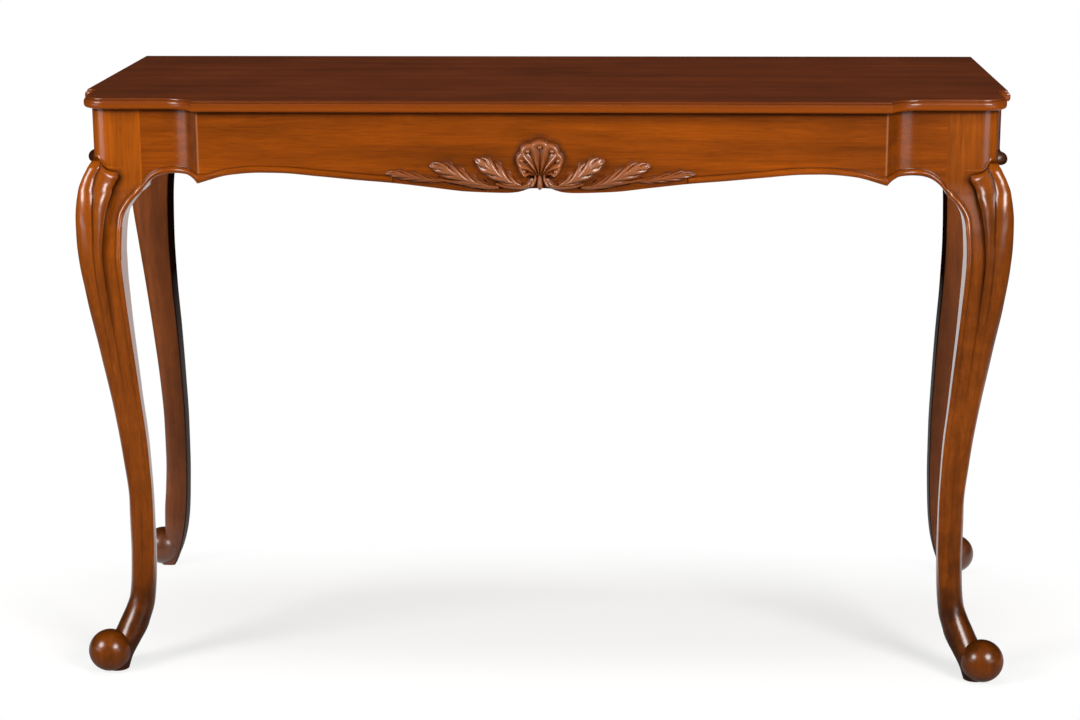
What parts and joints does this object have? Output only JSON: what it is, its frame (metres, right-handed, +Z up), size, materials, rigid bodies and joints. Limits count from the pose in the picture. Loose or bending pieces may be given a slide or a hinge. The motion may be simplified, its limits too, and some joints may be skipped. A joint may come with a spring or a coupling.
{
  "type": "pier table",
  "caption": "Mahogany pier table with a moulded top, coved corners, shaped frieze, carved shell and acanthus, and cabriole legs on scrolled ball feet",
  "frame": {"origin": "on the floor under the middle of the whole table's box in plan", "axes": "X to the right along the front, the longest extent; Y from the carved front to the plain back; Z up from the floor"},
  "size_m": [1.3434, 0.5424, 0.825],
  "materials": {
    "top_mahogany": "polished mahogany board, dark red brown, fine lengthwise grain",
    "frieze_mahogany": "waxed mahogany rails and beads, orange brown, grain along the rail",
    "leg_mahogany": "waxed mahogany legs, grain along the leg, dark in the grooves",
    "carved_mahogany": "carved mahogany with dark wax in the hollows",
    "inner_pine": "unfinished softwood darkened by age"
  },
  "bodies": {
    "root": {"top_board": "top_mahogany", "front_rail": "frieze_mahogany", "side_rail_left": "frieze_mahogany", "side_rail_right": "frieze_mahogany", "back_rail": "inner_pine", "cross_bearer": "inner_pine", "front_leg_left": "leg_mahogany", "front_leg_right": "leg_mahogany", "rear_leg_left": "leg_mahogany", "rear_leg_right": "leg_mahogany", "front_bead_left": "frieze_mahogany", "front_bead_right": "frieze_mahogany", "side_bead_left": "frieze_mahogany", "side_bead_right": "frieze_mahogany", "carved_shell": "carved_mahogany", "acanthus_left": "carved_mahogany", "acanthus_right": "carved_mahogany", "front_corner_blocks_left": "inner_pine", "front_corner_blocks_right": "inner_pine", "rear_corner_block_left": "inner_pine", "rear_corner_block_right": "inner_pine", "glue_blocks": "inner_pine"}
  },
  "joints": []
}
